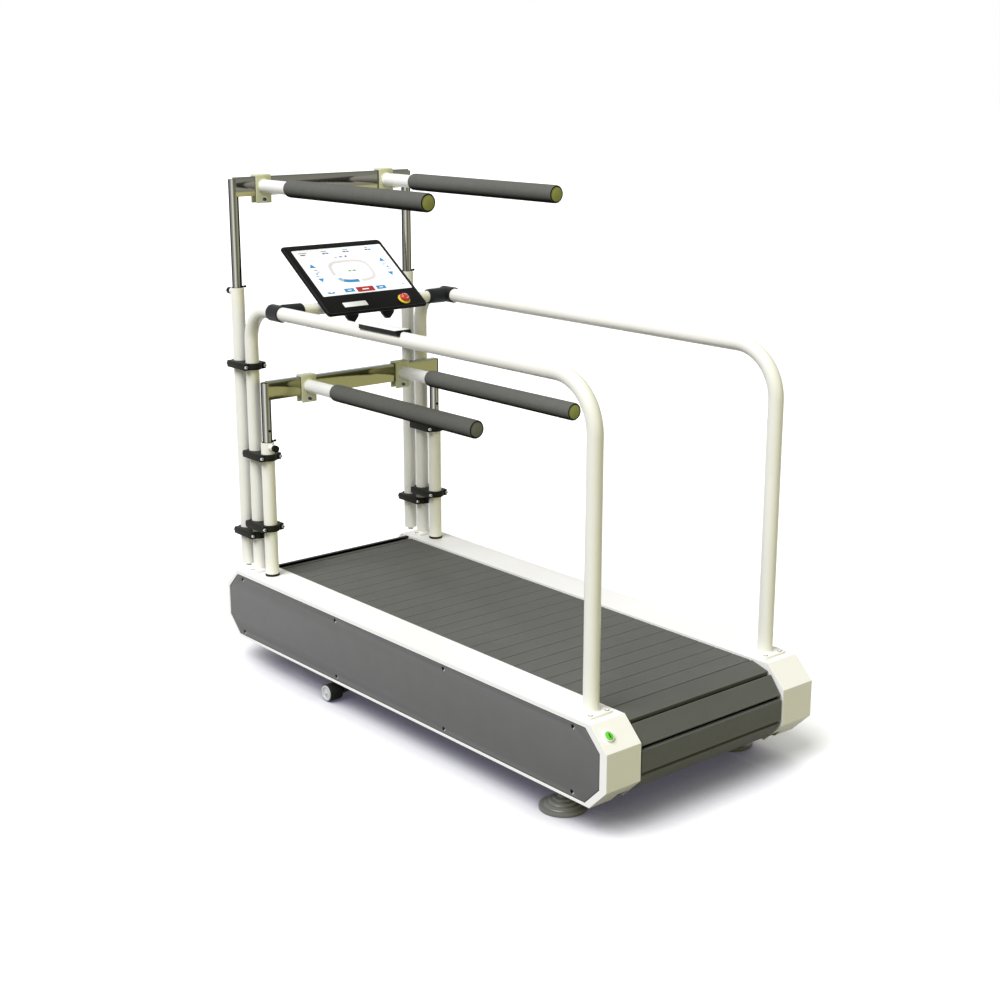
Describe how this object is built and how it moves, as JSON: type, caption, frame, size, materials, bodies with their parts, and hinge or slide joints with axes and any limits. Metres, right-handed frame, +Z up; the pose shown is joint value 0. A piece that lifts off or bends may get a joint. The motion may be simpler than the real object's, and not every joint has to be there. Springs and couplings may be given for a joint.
{
  "type": "treadmill ergometer",
  "caption": "Gait-training treadmill with a slat belt, handrails, height-adjustable frames of padded arm supports, a tilting touch console, a motor drive and lifting wheels.",
  "frame": {"origin": "on the floor, under the centre of the part's bounding box", "axes": "+Y is the walking direction, towards the console; +X is the walker's right; +Z is up"},
  "size_m": [0.735, 1.6964, 1.4623],
  "materials": {
    "white_paint": "semi-gloss cream-white powder coat",
    "grey_panel": "satin dark grey",
    "slat_rubber": "fine-ribbed dark grey",
    "black_plastic": "satin black",
    "bright_steel": "polished posts with a brushed bar",
    "foam_grip": "closed-cell foam, matte",
    "frame_paint": "satin black paint",
    "cast_aluminium": "as cast",
    "controller_case": "matte",
    "black_rubber": "matte",
    "foot_plastic": "satin dark grey",
    "screen_glass": "glossy, lit from behind",
    "red_plastic": "gloss",
    "green_plastic": "gloss, translucent"
  },
  "bodies": {
    "base": {"console_cross_tube": "white_paint", "drive_belt": "black_rubber", "drive_motor": "cast_aluminium", "front_cover": "black_plastic", "front_crossmember": "frame_paint", "handrail_tray": "black_plastic", "left_handrail": "white_paint", "left_housing": "white_paint", "left_inner_lower_clamp": "black_plastic", "left_inner_sleeve": "white_paint", "left_inner_upper_clamp": "black_plastic", "left_outer_lower_clamp": "black_plastic", "left_outer_sleeve": "white_paint", "left_outer_upper_clamp": "black_plastic", "left_roller_rail": "frame_paint", "left_side_beam": "frame_paint", "left_side_panel": "grey_panel", "left_tube_connector": "black_plastic", "lift_gearmotor": "cast_aluminium", "motor_controller": "controller_case", "rear_crossmember": "frame_paint", "right_handrail": "white_paint", "right_housing": "white_paint", "right_inner_lower_clamp": "black_plastic", "right_inner_sleeve": "white_paint", "right_inner_upper_clamp": "black_plastic", "right_outer_lower_clamp": "black_plastic", "right_outer_sleeve": "white_paint", "right_outer_upper_clamp": "black_plastic", "right_roller_rail": "frame_paint", "right_side_beam": "frame_paint", "right_side_panel": "grey_panel", "right_tube_connector": "black_plastic", "slat_belt": "slat_rubber"},
    "drive_drum": {"drive_drum": "cast_aluminium"},
    "idler_drum": {"idler_drum": "cast_aluminium"},
    "motor_rotor": {"motor_pulley": "cast_aluminium"},
    "lift": {"lift_frame": "frame_paint"},
    "left_wheel": {"left_lift_wheel": "black_rubber"},
    "left_foot": {"left_leveling_foot": "foot_plastic"},
    "right_wheel": {"right_lift_wheel": "black_rubber"},
    "right_foot": {"right_leveling_foot": "foot_plastic"},
    "upper_frame": {"upper_frame": "bright_steel"},
    "lower_frame": {"lower_frame": "bright_steel"},
    "upper_left_arm": {"upper_left_arm": "white_paint", "upper_left_grip": "foam_grip"},
    "upper_right_arm": {"upper_right_arm": "white_paint", "upper_right_grip": "foam_grip"},
    "lower_left_arm": {"lower_left_arm": "white_paint", "lower_left_grip": "foam_grip"},
    "lower_right_arm": {"lower_right_arm": "white_paint", "lower_right_grip": "foam_grip"},
    "left_outer_plunger": {"left_outer_plunger": "black_plastic"},
    "left_inner_plunger": {"left_inner_plunger": "black_plastic"},
    "right_outer_plunger": {"right_outer_plunger": "black_plastic"},
    "right_inner_plunger": {"right_inner_plunger": "black_plastic"},
    "console": {"console_body": "black_plastic", "touch_screen": "screen_glass"},
    "emergency_stop": {"emergency_stop": "red_plastic"},
    "start_button": {"start_button": "green_plastic"}
  },
  "joints": [
    {"name": "drive_drum_spin", "type": "hinge", "parent": "base", "child": "drive_drum", "pos_m": [0, 0.70785, 0.178], "axis": [1, 0, 0], "continuous": true},
    {"name": "idler_drum_spin", "type": "hinge", "parent": "base", "child": "idler_drum", "pos_m": [0, -0.74515, 0.178], "axis": [1, 0, 0], "continuous": true},
    {"name": "motor_spin", "type": "hinge", "parent": "base", "child": "motor_rotor", "pos_m": [0, 0.40785, 0.178], "axis": [1, 0, 0], "continuous": true},
    {"name": "lift_pivot", "type": "hinge", "parent": "base", "child": "lift", "pos_m": [0, 0.55285, 0.115], "axis": [1, 0, 0], "range_deg": [0, 30]},
    {"name": "left_wheel_spin", "type": "hinge", "parent": "lift", "child": "left_wheel", "pos_m": [-0.342, 0.31585, 0.025], "axis": [1, 0, 0], "continuous": true},
    {"name": "left_foot_screw", "type": "slide", "parent": "base", "child": "left_foot", "axis": [0, 0, -1], "range_m": [0, 0.015]},
    {"name": "right_wheel_spin", "type": "hinge", "parent": "lift", "child": "right_wheel", "pos_m": [0.342, 0.31585, 0.025], "axis": [1, 0, 0], "continuous": true},
    {"name": "right_foot_screw", "type": "slide", "parent": "base", "child": "right_foot", "axis": [0, 0, -1], "range_m": [0, 0.015]},
    {"name": "upper_frame_slide", "type": "slide", "parent": "base", "child": "upper_frame", "axis": [0, 0, 1], "range_m": [-0.096, 0.144]},
    {"name": "lower_frame_slide", "type": "slide", "parent": "base", "child": "lower_frame", "axis": [0, 0, 1], "range_m": [-0.048, 0.096]},
    {"name": "upper_left_arm_slide", "type": "slide", "parent": "upper_frame", "child": "upper_left_arm", "axis": [1, 0, 0], "range_m": [-0.045, 0.1]},
    {"name": "lower_left_arm_slide", "type": "slide", "parent": "lower_frame", "child": "lower_left_arm", "axis": [1, 0, 0], "range_m": [-0.09, 0.06]},
    {"name": "upper_right_arm_slide", "type": "slide", "parent": "upper_frame", "child": "upper_right_arm", "axis": [-1, 0, 0], "range_m": [-0.045, 0.1]},
    {"name": "lower_right_arm_slide", "type": "slide", "parent": "lower_frame", "child": "lower_right_arm", "axis": [-1, 0, 0], "range_m": [-0.09, 0.06]},
    {"name": "left_outer_pull", "type": "slide", "parent": "base", "child": "left_outer_plunger", "axis": [0, 1, 0], "range_m": [0, 0.008], "stiffness_N_per_m": 800, "springref_m": -0.008},
    {"name": "left_inner_pull", "type": "slide", "parent": "base", "child": "left_inner_plunger", "axis": [0, -1, 0], "range_m": [0, 0.008], "stiffness_N_per_m": 800, "springref_m": -0.008},
    {"name": "right_outer_pull", "type": "slide", "parent": "base", "child": "right_outer_plunger", "axis": [0, 1, 0], "range_m": [0, 0.008], "stiffness_N_per_m": 800, "springref_m": -0.008},
    {"name": "right_inner_pull", "type": "slide", "parent": "base", "child": "right_inner_plunger", "axis": [0, -1, 0], "range_m": [0, 0.008], "stiffness_N_per_m": 800, "springref_m": -0.008},
    {"name": "console_tilt", "type": "hinge", "parent": "base", "child": "console", "pos_m": [0, 0.58785, 1.086], "axis": [1, 0, 0], "range_deg": [-15, 20]},
    {"name": "emergency_stop_press", "type": "slide", "parent": "console", "child": "emergency_stop", "axis": [0, 0.5764, -0.8171], "range_m": [0, 0.004]},
    {"name": "start_button_press", "type": "slide", "parent": "base", "child": "start_button", "axis": [0, 0.7071, -0.7071], "range_m": [0, 0.003], "stiffness_N_per_m": 500, "springref_m": -0.004}
  ],
  "couplings": [
    {"joint": "idler_drum_spin", "follows": "drive_drum_spin", "ratio": 1},
    {"joint": "motor_spin", "follows": "drive_drum_spin", "ratio": 2}
  ]
}
